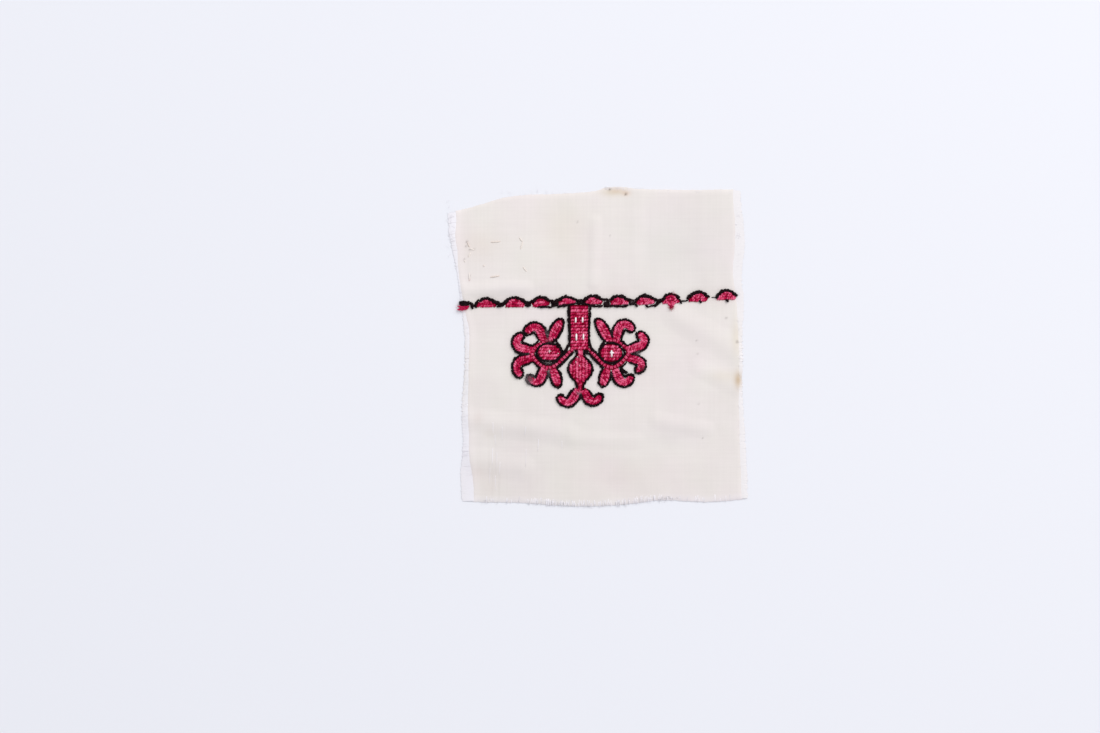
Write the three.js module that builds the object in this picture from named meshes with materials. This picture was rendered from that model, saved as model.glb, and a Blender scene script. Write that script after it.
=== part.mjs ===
// A small rectangle of plain-woven cotton, cut by hand and embroidered, lying flat.
// Its raw edges wander, its sides lift a little, and low creases cross it.
//
// Millimetres, +Z up. X runs across the cloth and Y up it, towards the edge above the
// border. The origin is under the middle of the cloth, on the surface that it lies on.

import * as THREE from "three";

// Driving dimensions.
const clothWidth = 77.2;
const clothHeight = 82.9;
const clothThickness = 1.0;

// The grid that carries the folds.
const cellsAcross = 34;
const cellsUp = 36;

// The sheet lies exactly flat wherever its folds would lift it by less than this.
const flatBelow = 0.08;

// The raw edges. "at" is how far along the edge a row is, from the left for the upper and
// lower edges and from below for the side edges. "inset" is how far the edge falls inside
// the rectangle of clothWidth by clothHeight there.
const upperEdge = [
  { at: 0, inset: 6.3 },
  { at: 7.5, inset: 4.5 },
  { at: 15, inset: 2.3 },
  { at: 29.4, inset: 1.25 },
  { at: 37.5, inset: 0.75 },
  { at: 41, inset: 0.2 },
  { at: 46.5, inset: 0 },
  { at: 60.8, inset: 0.25 },
  { at: 77.2, inset: 0.1 },
];
const lowerEdge = [
  { at: 0, inset: 1.6 },
  { at: 10.4, inset: 1.1 },
  { at: 19.2, inset: 0.9 },
  { at: 29.6, inset: 0.2 },
  { at: 36, inset: 0 },
  { at: 46.3, inset: 0.5 },
  { at: 55.1, inset: 1.6 },
  { at: 69.7, inset: 1.45 },
  { at: 77.2, inset: 2.1 },
];
const leftEdge = [
  { at: 0, inset: 3.1 },
  { at: 11.5, inset: 3.15 },
  { at: 19.8, inset: 3.5 },
  { at: 29.2, inset: 4.1 },
  { at: 47.4, inset: 4.4 },
  { at: 55.4, inset: 3.5 },
  { at: 66.6, inset: 2.1 },
  { at: 77, inset: 0 },
  { at: 82.9, inset: 0.6 },
];
const rightEdge = [
  { at: 0, inset: 0 },
  { at: 12.5, inset: 0.5 },
  { at: 28.1, inset: 0.9 },
  { at: 43.2, inset: 1.0 },
  { at: 56, inset: 1.9 },
  { at: 59.6, inset: 2.4 },
  { at: 67.9, inset: 2.0 },
  { at: 82.9, inset: 2.5 },
];

// The folds, each a soft ridge that follows a straight line and fades round its ends.
// "height" is the ridge's height over the surface below, and "reach" is the distance from
// its line at which a third of that height is left.
const folds = [
  { name: "pucker above the border", x1: -33, y1: 15.2, x2: -18, y2: 15.6, height: 0.4, reach: 1.9 },
  { name: "upright crease above the stem", x1: 0.2, y1: 33, x2: -0.4, y2: 17, height: 0.3, reach: 1.7 },
  { name: "broad upright fold", x1: 11.6, y1: 41, x2: 11.2, y2: 18, height: 0.4, reach: 2.8 },
  { name: "slanting fold", x1: 21, y1: 8.5, x2: 38, y2: -1.5, height: 0.5, reach: 3.1 },
  { name: "lower slanting fold", x1: 27, y1: -5, x2: 38, y2: -10.5, height: 0.36, reach: 2.4 },
  { name: "cross fold, left", x1: -32, y1: -18.5, x2: -7, y2: -22.3, height: 0.5, reach: 2.7 },
  { name: "cross fold, middle", x1: -5, y1: -23.5, x2: 11, y2: -24, height: 0.34, reach: 2.2 },
  { name: "cross fold, right", x1: 16, y1: -18.6, x2: 29, y2: -21, height: 0.42, reach: 2.3 },
  { name: "bulge at the lower left", x1: -31, y1: -29, x2: -19, y2: -31, height: 0.5, reach: 3.0 },
  { name: "upper left corner", x1: -40, y1: 38, x2: -38.5, y2: 22, height: 0.3, reach: 3.2 },
  { name: "left side", x1: -37.5, y1: 9, x2: -38, y2: -36, height: 0.22, reach: 3.0 },
  { name: "upper edge", x1: -27, y1: 41, x2: -6, y2: 43, height: 0.2, reach: 2.6 },
  { name: "lower edge", x1: 17, y1: -42.5, x2: 33, y2: -42, height: 0.28, reach: 2.4 },
  { name: "right side", x1: 40.6, y1: -14, x2: 41, y2: -40, height: 0.25, reach: 2.8 },
];

// Returns a smooth curve through one edge's rows: the inset at any place along the edge.
function edgeCurve(rows) {
  const places = rows.map((row) => row.at);
  const insets = rows.map((row) => row.inset);
  const curve = new THREE.CubicInterpolant(places, insets, 1);
  return (at) => curve.evaluate(at)[0];
}

// Returns the height of one fold at (x, y): a bell curve of the distance to its line.
function foldHeight(fold, x, y) {
  const runX = fold.x2 - fold.x1;
  const runY = fold.y2 - fold.y1;
  const along = ((x - fold.x1) * runX + (y - fold.y1) * runY) / (runX ** 2 + runY ** 2);
  const nearest = THREE.MathUtils.clamp(along, 0, 1);
  const distance = Math.hypot(x - fold.x1 - nearest * runX, y - fold.y1 - nearest * runY);
  return fold.height * Math.exp(-((distance / fold.reach) ** 2));
}

// Returns how far the sheet's underside is lifted at (x, y): all the folds together, less
// the small height under which it lies flat.
function liftAt(x, y) {
  const total = folds.reduce((sum, fold) => sum + foldHeight(fold, x, y), 0);
  return Math.max(0, total - flatBelow);
}

// Returns a function that gives the place of a point of the sheet, across and up it by
// fractions from 0 to 1. The sides bound x and the upper and lower edges bound y. Each
// bound depends on the other, and a few rounds settle them.
function sheetOutline() {
  const upper = edgeCurve(upperEdge);
  const lower = edgeCurve(lowerEdge);
  const left = edgeCurve(leftEdge);
  const right = edgeCurve(rightEdge);
  const settlingRounds = 6;
  return (across, up) => {
    let x = across * clothWidth;
    let y = up * clothHeight;
    for (let round = 0; round < settlingRounds; round += 1) {
      const low = lower(x);
      const high = clothHeight - upper(x);
      y = THREE.MathUtils.lerp(low, high, up);
      x = THREE.MathUtils.lerp(left(y), clothWidth - right(y), across);
    }
    return { x: x - clothWidth / 2, y: y - clothHeight / 2 };
  };
}

// Builds the sheet as one closed solid: a grid for the underside, the same grid one
// thickness higher for the upper side, and a strip of wall round the raw edges.
function clothGeometry() {
  const outline = sheetOutline();
  const columns = cellsAcross + 1;
  const rows = cellsUp + 1;
  const positions = [];
  for (const side of [0, clothThickness]) {
    for (let row = 0; row < rows; row += 1) {
      for (let column = 0; column < columns; column += 1) {
        const { x, y } = outline(column / cellsAcross, row / cellsUp);
        positions.push(x, y, liftAt(x, y) + side);
      }
    }
  }

  const under = (column, row) => row * columns + column;
  const over = (column, row) => under(column, row) + columns * rows;
  const indices = [];
  const quad = (a, b, c, d) => indices.push(a, b, c, a, c, d);
  for (let row = 0; row < cellsUp; row += 1) {
    for (let column = 0; column < cellsAcross; column += 1) {
      const right = column + 1;
      const above = row + 1;
      quad(over(column, row), over(right, row), over(right, above), over(column, above));
      quad(under(column, row), under(column, above), under(right, above), under(right, row));
    }
  }
  for (let column = 0; column < cellsAcross; column += 1) {
    const right = column + 1;
    quad(under(column, 0), under(right, 0), over(right, 0), over(column, 0));
    quad(under(right, cellsUp), under(column, cellsUp), over(column, cellsUp), over(right, cellsUp));
  }
  for (let row = 0; row < cellsUp; row += 1) {
    const above = row + 1;
    quad(under(0, above), under(0, row), over(0, row), over(0, above));
    quad(under(cellsAcross, row), under(cellsAcross, above), over(cellsAcross, above), over(cellsAcross, row));
  }

  const geometry = new THREE.BufferGeometry();
  geometry.setAttribute("position", new THREE.Float32BufferAttribute(positions, 3));
  geometry.setIndex(indices);
  geometry.computeVertexNormals();
  return geometry;
}

const cottonMaterial = new THREE.MeshStandardMaterial({
  color: 0xe8e4dd,
  roughness: 0.92,
  metalness: 0,
});

const groundCloth = new THREE.Mesh(clothGeometry(), cottonMaterial);
groundCloth.name = "ground_cloth";

const embroideredCloth = new THREE.Group();
embroideredCloth.add(groundCloth);

export default embroideredCloth;
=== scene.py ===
import math

import bpy
import numpy as np
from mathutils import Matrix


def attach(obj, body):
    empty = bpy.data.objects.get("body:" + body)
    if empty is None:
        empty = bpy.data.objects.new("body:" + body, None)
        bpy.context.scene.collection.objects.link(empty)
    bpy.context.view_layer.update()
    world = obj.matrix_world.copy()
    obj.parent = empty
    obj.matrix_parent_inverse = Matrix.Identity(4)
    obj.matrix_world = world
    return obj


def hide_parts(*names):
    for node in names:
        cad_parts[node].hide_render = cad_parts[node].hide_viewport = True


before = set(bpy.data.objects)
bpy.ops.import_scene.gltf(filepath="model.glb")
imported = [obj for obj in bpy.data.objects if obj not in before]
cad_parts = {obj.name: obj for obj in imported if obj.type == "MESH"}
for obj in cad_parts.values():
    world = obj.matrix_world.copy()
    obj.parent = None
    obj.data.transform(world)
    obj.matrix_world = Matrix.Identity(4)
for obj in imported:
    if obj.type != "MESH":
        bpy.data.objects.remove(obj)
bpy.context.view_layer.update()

# The table and the view. The cloth lies on a smooth white table and is seen from straight
# above through a long lens, a little above and to the right of the middle of the picture.
# The light is soft daylight from all round, a little stronger from the upper right.
millimetre = 0.001
picture_width = 286
picture_middle = (-11.6, -4.7)
lens = 85
sensor = 36
camera_data = bpy.data.cameras.new("view_from_above")
camera_data.lens = lens
camera_data.sensor_width = sensor
camera_data.clip_start = 0.01
camera_data.clip_end = 20
camera = bpy.data.objects.new("view_from_above", camera_data)
camera_height = picture_width * lens / sensor
camera.location = [size * millimetre for size in (*picture_middle, camera_height)]
bpy.context.collection.objects.link(camera)
bpy.context.scene.camera = camera
bpy.context.scene.view_settings.view_transform = "Standard"
bpy.context.scene.view_settings.look = "None"


def set_values(shader, values):
    """Sets a shader's own numbers and colours."""
    for name, value in values.items():
        shader.inputs[name].default_value = value


def new_material(name):
    """An empty node material, with its tree and its shader."""
    material = bpy.data.materials.new(name)
    material.use_nodes = True
    tree = material.node_tree
    return material, tree, tree.nodes["Principled BSDF"]


def soft_light(name, place, size, power):
    """A square soft light that faces the cloth. Its place and size are in metres."""
    data = bpy.data.lights.new(name, "AREA")
    data.size = size
    data.energy = power
    light = bpy.data.objects.new(name, data)
    light.location = place
    facing = -np.array(place)
    tilt = math.atan2(math.hypot(facing[0], facing[1]), -facing[2])
    light.rotation_euler = (0, tilt, math.atan2(-facing[1], -facing[0]))
    bpy.context.collection.objects.link(light)


world = bpy.data.worlds.new("daylight")
world.use_nodes = True
set_values(world.node_tree.nodes["Background"], {"Color": (0.93, 0.955, 1.0, 1), "Strength": 0.76})
bpy.context.scene.world = world
soft_light("window", (0.72, 1.0, 1.25), 1.2, 19.5)

table_half = 1.5
table_corners = [(x * table_half, y * table_half, 0) for x, y in ((-1, -1), (1, -1), (1, 1), (-1, 1))]
table_data = bpy.data.meshes.new("table")
table_data.from_pydata(table_corners, [], [(0, 1, 2, 3)])
table = bpy.data.objects.new("table", table_data)
bpy.context.collection.objects.link(table)
table_white, tree, shader = new_material("table_white")
set_values(shader, {"Base Color": (0.785, 0.781, 0.820, 1), "Roughness": 0.7})
table_data.materials.append(table_white)

# The ground. One rectangle of plain-woven cotton, cut by hand, with four raw edges and no
# hem. It lies flat with low creases, and its sides lift a little from the table. All the
# sizes from here on are millimetres.
cloth_width = 77.2
cloth_height = 82.9
cloth_thickness = 0.3
rim_angle = 50
clear_of_table = 0.02
flat_below = 0.08
ripple_share = 0.6

upper_edge = {
    "at": (0, 7.5, 15, 29.4, 37.5, 41, 46.5, 60.8, 77.2),
    "inset": (6.3, 4.5, 2.3, 1.25, 0.75, 0.2, 0, 0.25, 0.1),
}
lower_edge = {
    "at": (0, 10.4, 19.2, 29.6, 36, 46.3, 55.1, 69.7, 77.2),
    "inset": (1.6, 1.1, 0.9, 0.2, 0, 0.5, 1.6, 1.45, 2.1),
}
left_edge = {
    "at": (0, 11.5, 19.8, 29.2, 47.4, 55.4, 66.6, 77, 82.9),
    "inset": (3.1, 3.15, 3.5, 4.1, 4.4, 3.5, 2.1, 0, 0.6),
}
right_edge = {
    "at": (0, 12.5, 28.1, 43.2, 56, 59.6, 67.9, 82.9),
    "inset": (0, 0.5, 0.9, 1.0, 1.9, 2.4, 2.0, 2.5),
}

# How far inside that outline the weave begins along the frayed edges, and how far inside it,
# or outside it below zero, the bare thread ends stop.
left_weave = {
    "at": (0, 8, 13, 20, 29, 40, 47, 51, 58, 66, 70, 74.5, 78, 82.9),
    "inset": (3.9, 3.6, 2.6, 2.1, 1.4, 1.2, 1.25, 0.8, 0.4, 0.6, 0.9, 2.3, 2.4, 1.8),
}
left_tips = {
    "at": (0, 10, 16, 25, 36, 47, 51, 60, 69, 75, 82.9),
    "inset": (1.0, 0.7, 1.0, 0.15, 0.3, 0.15, 0.0, 0.0, -0.5, 0.3, 0.3),
}
right_tips = {
    "at": (0, 5, 14, 22, 30, 38, 46, 52, 60, 68, 76, 82.9),
    "inset": (-1.2, -1.4, -1.35, -1.1, -0.8, -0.8, -1.0, -1.7, -2.1, -2.4, -2.1, -1.6),
}
lower_weave = {
    "at": (0, 12, 22, 48, 56, 64, 77.2),
    "inset": (0.35, 0.4, 0.45, 0.4, 0.35, 0.2, 0.15),
}
lower_tips = {"at": (0, 20, 50, 77.2), "inset": (0.2, 0.1, 0.05, 0.05)}

# The low hump where threads have pushed the upper edge out: its middle from the left.
hump_middle = 43.9
hump_reach = 4.0
hump_height = 0.55

# How uneven each edge is: the seed of its waves, the finest wave's height and length, and the
# share of all the waves that is kept.
unevenness = {
    "lower": (1, 0.1, 0.8, 0.5),
    "upper": (2, 0.1, 0.8, 0.5),
    "left": (3, 0.1, 0.8, 0.35),
    "right": (4, 0.07, 0.8, 0.6),
}

# The folds: where each begins and ends, its height, and how far out from its line a third
# of that height is left.
folds = (
    (-33, 15.2, -18, 15.6, 0.4, 1.9),
    (0.2, 33, -0.4, 17, 0.3, 1.7),
    (11.6, 41, 11.2, 18, 0.2, 2.8),
    (21, 8.5, 38, -1.5, 0.42, 3.1),
    (27, -5, 38, -10.5, 0.3, 2.4),
    (-32, -18.5, -7, -22.3, 0.46, 2.7),
    (-5, -23.5, 11, -24, 0.26, 2.2),
    (16, -18.6, 29, -21, 0.28, 2.3),
    (-31, -29, -19, -31, 0.42, 3.0),
    (-40, 38, -38.5, 22, 0.3, 3.2),
    (-37.5, 9, -38, -36, 0.22, 3.0),
    (-27, 41, -6, 43, 0.2, 2.6),
    (17, -42.5, 33, -42, 0.28, 2.4),
    (40.6, -14, 41, -40, 0.25, 2.8),
)

# The slack of the weave: the direction, length and height of each long low ripple.
ripples = (
    (12, 23, 0.045),
    (71, 17, 0.04),
    (118, 11.5, 0.03),
    (160, 8.3, 0.022),
    (35, 6.1, 0.015),
    (96, 4.7, 0.01),
)


def smooth_curve(columns, at):
    """A smooth line through a table's rows. Between two rows it is a cubic whose slope at each
    row is the slope between that row's neighbours."""
    places = np.array(columns["at"], float)
    values = np.array(columns["inset"], float)
    slopes = np.gradient(values, places)
    row = np.clip(np.searchsorted(places, at) - 1, 0, len(places) - 2)
    span = places[row + 1] - places[row]
    part = (at - places[row]) / span
    rest = 1 - part
    return (
        values[row] * (1 + 2 * part) * rest**2
        + values[row + 1] * (3 - 2 * part) * part**2
        + span * part * rest * (slopes[row] * rest - slopes[row + 1] * part)
    )


def fold_lift(x, y):
    """Height of the cloth's underside over the table. Each fold is a bell curve of the distance
    to its line, and the cloth lies flat where they add up to less than flat_below."""
    total = np.zeros_like(x)
    for x1, y1, x2, y2, height, reach in folds:
        run_x = x2 - x1
        run_y = y2 - y1
        along = ((x - x1) * run_x + (y - y1) * run_y) / (run_x**2 + run_y**2)
        nearest = np.clip(along, 0, 1)
        distance = np.hypot(x - x1 - nearest * run_x, y - y1 - nearest * run_y)
        total += height * np.exp(-((distance / reach) ** 2))
    return np.maximum(total - flat_below, 0)


def ripple(x, y):
    """The sum of the ripples, each a sine wave that runs in its own direction, never below 0."""
    total = np.zeros_like(x)
    for direction, length, height in ripples:
        turned = math.radians(direction)
        phase = (x * math.cos(turned) + y * math.sin(turned)) * 2 * math.pi / length
        total += height * (1 + np.sin(phase + direction))
    return total


def underside(x, y):
    """Height of the cloth's underside, just clear of the table."""
    return clear_of_table + fold_lift(x, y) + ripple_share * ripple(x, y)


def face(x, y):
    """Height of the cloth's upper face."""
    return underside(x, y) + cloth_thickness


def edge_noise(at, edge):
    """Small unevenness along an edge: the sum of five sine waves of random phase. Each is about
    half as long as the one before and a little higher, and the last is the edge's finest wave."""
    seed, height, finest, share = unevenness[edge]
    random = np.random.default_rng(seed)
    total = np.zeros_like(at)
    for wave in range(5):
        length = finest * 2 ** (4 - wave) * random.uniform(0.85, 1.15)
        turned = at * 2 * math.pi / length + random.uniform(0, 6.3)
        total += height * 0.66 ** (4 - wave) ** 0.5 * np.sin(turned)
    return share * total


def cloth_point(across, up, left_inset, lower_inset):
    """The places of points of the sheet, across and up it by fractions, as a row of x and a row of
    y. left_inset and lower_inset are the tables that say how far inside the outline it stops
    there. Where each edge runs depends on where the point is, and a few rounds settle the two."""
    x = across * cloth_width
    y = up * cloth_height
    for settle in range(6):
        low = smooth_curve(lower_edge, x) + smooth_curve(lower_inset, x)
        high = cloth_height - smooth_curve(upper_edge, x)
        high = high + hump_height * np.exp(-(((x - hump_middle) / hump_reach) ** 4))
        left = smooth_curve(left_edge, y) + smooth_curve(left_inset, y)
        right = cloth_width - smooth_curve(right_edge, y)
        low = low + edge_noise(x, "lower")
        high = high + edge_noise(x, "upper")
        left = left + edge_noise(y, "left")
        right = right + edge_noise(y, "right")
        y = low + (high - low) * up
        x = left + (right - left) * across
    return np.stack([x - cloth_width / 2, y - cloth_height / 2])


def make_piece(name, points, quads, caps=None):
    """A mesh object from arrays: points in millimetres, faces of four corners, and end caps that
    all have the same number of corners."""
    data = bpy.data.meshes.new(name)
    corners = quads.ravel()
    starts = np.arange(len(quads)) * 4
    if caps is not None:
        starts = np.concatenate([starts, len(corners) + np.arange(len(caps)) * caps.shape[1]])
        corners = np.concatenate([corners, caps.ravel()])
    data.vertices.add(len(points))
    data.vertices.foreach_set("co", (points * millimetre).astype(np.float32).ravel())
    data.loops.add(len(corners))
    data.loops.foreach_set("vertex_index", corners.astype(np.int32))
    data.polygons.add(len(starts))
    data.polygons.foreach_set("loop_start", starts.astype(np.int32))
    data.update(calc_edges=True)
    data.validate()
    data.polygons.foreach_set("use_smooth", np.full(len(data.polygons), True))
    piece = bpy.data.objects.new(name, data)
    bpy.context.collection.objects.link(piece)
    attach(piece, "root")
    return piece


def sheet_piece(name, x, y, above, under, columns, rows):
    """A closed sheet: one grid of points for its upper face, the same grid at its underside's
    heights, and a strip of faces round the rim between them."""
    number = np.arange(columns * rows).reshape(rows, columns)
    cells = [number[:-1, :-1], number[:-1, 1:], number[1:, 1:], number[1:, :-1]]
    quads = np.stack([corner.ravel() for corner in cells], axis=1)
    rim = np.concatenate([number[0], number[1:, -1], number[-1, -2::-1], number[-2:0:-1, 0]])
    ahead = np.roll(rim, -1)
    beneath = columns * rows
    rim_quads = np.stack([rim + beneath, ahead + beneath, ahead, rim], axis=1)
    points = np.concatenate([np.column_stack([x, y, above]), np.column_stack([x, y, under])])
    piece = make_piece(name, points, np.concatenate([quads, quads[:, ::-1] + beneath, rim_quads]))
    piece.data.set_sharp_from_angle(angle=math.radians(rim_angle))
    return piece


def point_value(piece, name, values):
    """Stores one number, or one colour of four numbers, for each point of a piece."""
    kind = "FLOAT_COLOR" if np.ndim(values) == 2 else "FLOAT"
    field = "color" if np.ndim(values) == 2 else "value"
    attribute = piece.data.attributes.new(name, kind, "POINT")
    attribute.data.foreach_set(field, np.asarray(values, np.float32).ravel())


# Where the cotton has changed colour, and where the shading of the low folds is painted on it:
# place, reach across and up, strength, and the colour that it is turned towards. The rows with
# shade are painted shade and the rows with light are painted light.
brown = (0.66, 0.50, 0.30)
rust = (0.72, 0.50, 0.42)
orange = (0.86, 0.62, 0.42)
yellow = (0.86, 0.80, 0.64)
grey = (0.80, 0.82, 0.86)
pink = (0.92, 0.86, 0.86)
green = (0.88, 0.91, 0.86)
# shade is painted shade and light is painted light: they stand in for the shading of the low folds.
shade = (0.90, 0.90, 0.92)
light = (1.03, 1.03, 1.03)
speck = (0.16, 0.13, 0.12)
dried_red = (0.45, 0.12, 0.14)
stains = (
    (4.6, 40.6, 2.9, 1.1, 0.6, yellow), (5.8, 40.9, 2.0, 0.7, 0.3, orange),
    (8.1, 40.3, 1.1, 0.7, 0.45, orange), (36.8, 2.8, 1.2, 4.5, 0.4, yellow),
    (37.3, -8.2, 1.0, 2.0, 0.75, brown), (34.0, -7.2, 4.0, 1.6, 0.25, yellow),
    (-34.0, -2.0, 1.6, 9.0, 0.2, yellow), (-34.4, -5.0, 0.8, 12.0, 0.35, yellow),
    (-28.0, -33.0, 4.6, 3.2, 0.08, rust), (-27.0, -36.5, 2.0, 1.6, 0.07, rust),
    (-30.5, -32.0, 1.6, 1.8, 0.05, rust), (-30.3, -18.2, 1.3, 1.7, 0.08, rust),
    (-27.3, -22.0, 1.6, 1.7, 0.06, brown), (-32.2, -10.5, 1.6, 5.0, 0.3, green),
    (-26.0, -31.0, 16.0, 11.0, 0.35, shade), (24.0, 28.0, 14.0, 12.0, 0.25, grey),
    (-22.0, 15.2, 9.0, 1.4, 0.4, shade), (-8.0, 30.0, 6.0, 8.0, 0.2, yellow),
    (-16.0, -22.0, 12.0, 2.6, 0.3, shade), (20.0, -22.5, 8.0, 3.2, 0.2, grey),
    (8.0, -33.0, 12.0, 5.0, 0.25, pink), (-30.0, 27.0, 5.0, 4.0, 0.2, yellow),
    (32.0, 13.0, 5.0, 3.0, 0.3, pink), (5.0, 14.8, 7.0, 1.8, 0.3, pink),
    # Painted light and painted shade on the two sides of the upright fold.
    (10.9, 29.0, 1.3, 11.0, 0.5, light), (14.6, 29.0, 1.7, 11.0, 0.14, shade),
    (-6.0, -34.0, 16.0, 6.0, 0.12, pink), (-35.5, -36.0, 2.2, 7.0, 0.1, yellow),
    (-10.0, 8.0, 3.0, 5.0, 0.2, pink), (14.5, -6.0, 4.0, 5.0, 0.2, pink),
    (-27.4, -31.0, 0.24, 5.0, 0.07, speck), (-26.5, -35.0, 0.24, 4.0, 0.08, speck),
    (-25.6, -30.0, 0.24, 5.5, 0.07, speck), (-24.8, -36.0, 0.24, 3.5, 0.07, speck),
    (3.9, 41.3, 0.32, 0.2, 0.95, speck), (8.1, 40.1, 0.3, 0.26, 0.9, speck),
    (37.0, 1.7, 0.3, 0.3, 0.6, speck), (34.2, 7.9, 0.35, 0.26, 0.4, speck),
    (-4.5, 32.9, 0.22, 0.22, 0.4, speck), (4.0, 29.2, 0.2, 0.2, 0.35, speck),
    (26.5, 2.0, 0.24, 0.2, 0.35, speck), (26.7, -1.4, 0.2, 0.24, 0.35, speck),
    (27.0, -14.4, 0.22, 0.2, 0.35, speck), (28.0, -23.3, 0.2, 0.2, 0.35, speck),
    (-33.2, 27.7, 0.26, 0.3, 0.6, speck), (-33.4, 26.5, 0.24, 0.26, 0.5, speck),
    (-32.4, 25.6, 0.3, 0.24, 0.5, speck), (-31.3, 25.8, 0.24, 0.2, 0.5, speck),
    (-33.9, 23.1, 0.2, 0.3, 0.4, speck), (-32.5, 18.9, 0.2, 0.34, 0.4, speck),
    (-32.5, 17.8, 0.2, 0.26, 0.5, dried_red),
)
darker_downwards = 0.0004
full_colour_from = 41


def cotton_tint(x, y):
    """The colour by which the cotton is multiplied. It is a little darker towards the lower edge,
    and turned towards each row's colour by a bell curve of the distance to it: a stain's colour,
    painted shade or painted light."""
    tint = np.repeat((1 - darker_downwards * (full_colour_from - y))[:, None], 3, axis=1)
    for place_x, place_y, reach_x, reach_y, strength, colour in stains:
        away = ((x - place_x) / reach_x) ** 2 + ((y - place_y) / reach_y) ** 2
        share = (strength * np.exp(-away))[:, None]
        tint *= 1 + share * (np.array(colour) - 1)
    return np.column_stack([tint, np.ones(len(x))])


# The sheet thins towards its rim and lies closer to the table there.
sheet_columns = 196
sheet_rows = 212
across, up = np.meshgrid(np.linspace(0, 1, sheet_columns), np.linspace(0, 1, sheet_rows))
sheet_x, sheet_y = cloth_point(across.ravel(), up.ravel(), left_weave, lower_weave)
column = np.minimum(np.arange(sheet_columns), np.arange(sheet_columns)[::-1])
row = np.minimum(np.arange(sheet_rows), np.arange(sheet_rows)[::-1])
cells_inside = np.minimum(column[None], row[:, None]).ravel()
edge_thickness = cloth_thickness * np.interp(cells_inside, (0, 1, 2), (0.5, 0.87, 1))
settled = np.interp(cells_inside, (0, 1, 2, 3, 4), (1, 0.6, 0.3, 0.1, 0))
below = underside(sheet_x, sheet_y) - ripple_share * settled * ripple(sheet_x, sheet_y)
above = below + edge_thickness
cloth = sheet_piece("cotton_cloth", sheet_x, sheet_y, above, below, sheet_columns, sheet_rows)

# The weave thins out over the last two millimetres above the lower edge, and a little further
# in beside the left one. There its colour is made paler and bluer: painted light, which lifts
# the shade along the rim and stands in for the table seen through the thin weave.
thinned_and_lit_below = np.interp(np.arange(sheet_rows), (0, 2, 5), (1, 0.6, 0))
thinned_and_lit_left = np.interp(np.arange(sheet_columns), (0, 1, 4, 7), (1.5, 1.3, 0.6, 0))
sheet_tint = cotton_tint(sheet_x, sheet_y)
sheet_tint[:, :3] *= 1 + np.repeat(thinned_and_lit_below, sheet_columns)[:, None] * (0.05, 0.06, 0.11)
sheet_tint[:, :3] *= 1 + np.tile(thinned_and_lit_left, sheet_rows)[:, None] * (0.06, 0.055, 0.065)
point_value(cloth, "tint", np.tile(sheet_tint, (2, 1)))


def add_node(tree, kind, inputs, **settings):
    """Adds one shader node. An input is a number, a colour, or the output that is linked to it."""
    node = tree.nodes.new(kind)
    for name, value in settings.items():
        setattr(node, name, value)
    for name, value in inputs.items():
        if isinstance(value, bpy.types.NodeSocket):
            tree.links.new(value, node.inputs[name])
        else:
            node.inputs[name].default_value = value
    return node


def maths(tree, operation, *values):
    """The result of an operation on one, two or three numbers."""
    inputs = dict(enumerate(values))
    return add_node(tree, "ShaderNodeMath", inputs, operation=operation).outputs[0]


def vector_maths(tree, operation, first, second):
    """The result of an operation on two colours or places, or on one and the number that scales
    it."""
    inputs = {0: first, "Scale" if operation == "SCALE" else 1: second}
    return add_node(tree, "ShaderNodeVectorMath", inputs, operation=operation).outputs["Vector"]


def noise(tree, place, scale, detail, output="Fac"):
    """Cloudy noise at a place. scale is how many clouds there are to a unit of the place, and
    detail how many finer layers lie over them."""
    inputs = {"Vector": place, "Scale": scale, "Detail": detail}
    return add_node(tree, "ShaderNodeTexNoise", inputs).outputs[output]


def strand_noise(tree, place, stretch, detail):
    """Noise drawn out into strands. stretch is how many there are to a unit along each axis."""
    drawn_out = add_node(tree, "ShaderNodeMapping", {"Vector": place, "Scale": stretch})
    return noise(tree, drawn_out.outputs["Vector"], 1.0, detail)


def two_colours(tree, share, low, low_colour, high, high_colour):
    """A colour that runs from one colour at the low share to another at the high one."""
    node = add_node(tree, "ShaderNodeValToRGB", {"Fac": share})
    ends = node.color_ramp.elements
    ends[0].position = low
    ends[0].color = (*low_colour, 1)
    ends[1].position = high
    ends[1].color = (*high_colour, 1)
    return node.outputs["Color"]


def from_point(tree, name, output="Fac"):
    """A value that point_value stored on a piece."""
    return add_node(tree, "ShaderNodeAttribute", {}, attribute_name=name).outputs[output]


def dress_shader(tree, shader, colour, height, strength, distance, values):
    """Links a shader to its colour and to a bump that is at most the distance in metres high, and
    sets its own values."""
    tree.links.new(colour, shader.inputs["Base Color"])
    inputs = {"Strength": strength, "Distance": distance, "Height": height}
    bump = add_node(tree, "ShaderNodeBump", inputs)
    tree.links.new(bump.outputs["Normal"], shader.inputs["Normal"])
    set_values(shader, values)


# The plain weave: a sine wave across each way makes a chequer of pads, in which warp and weft
# lie on top by turns. Slubs, mottling and a slow drift of colour lie over it.
thread_pitch = 0.31
cotton, tree, shader = new_material("plain_woven_cotton")
place = add_node(tree, "ShaderNodeTexCoord", {}).outputs["Object"]
wander = vector_maths(tree, "SCALE", noise(tree, place, 260.0, 2.0, "Color"), 0.0005)
wandered = vector_maths(tree, "ADD", place, wander)
split = add_node(tree, "ShaderNodeSeparateXYZ", {"Vector": wandered})
waves = []
for axis in ("X", "Y"):
    turned = maths(tree, "MULTIPLY", split.outputs[axis], math.pi / (thread_pitch * millimetre))
    waves.append(maths(tree, "SINE", turned))
warp_over = maths(tree, "GREATER_THAN", maths(tree, "MULTIPLY", *waves), 0.0)
rounded = [maths(tree, "ABSOLUTE", wave) for wave in waves]
steep = [maths(tree, "POWER", wave, 0.9) for wave in rounded]
flatter = [maths(tree, "POWER", wave, 0.35) for wave in rounded]
warp_pad = maths(tree, "MULTIPLY", steep[0], flatter[1])
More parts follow.
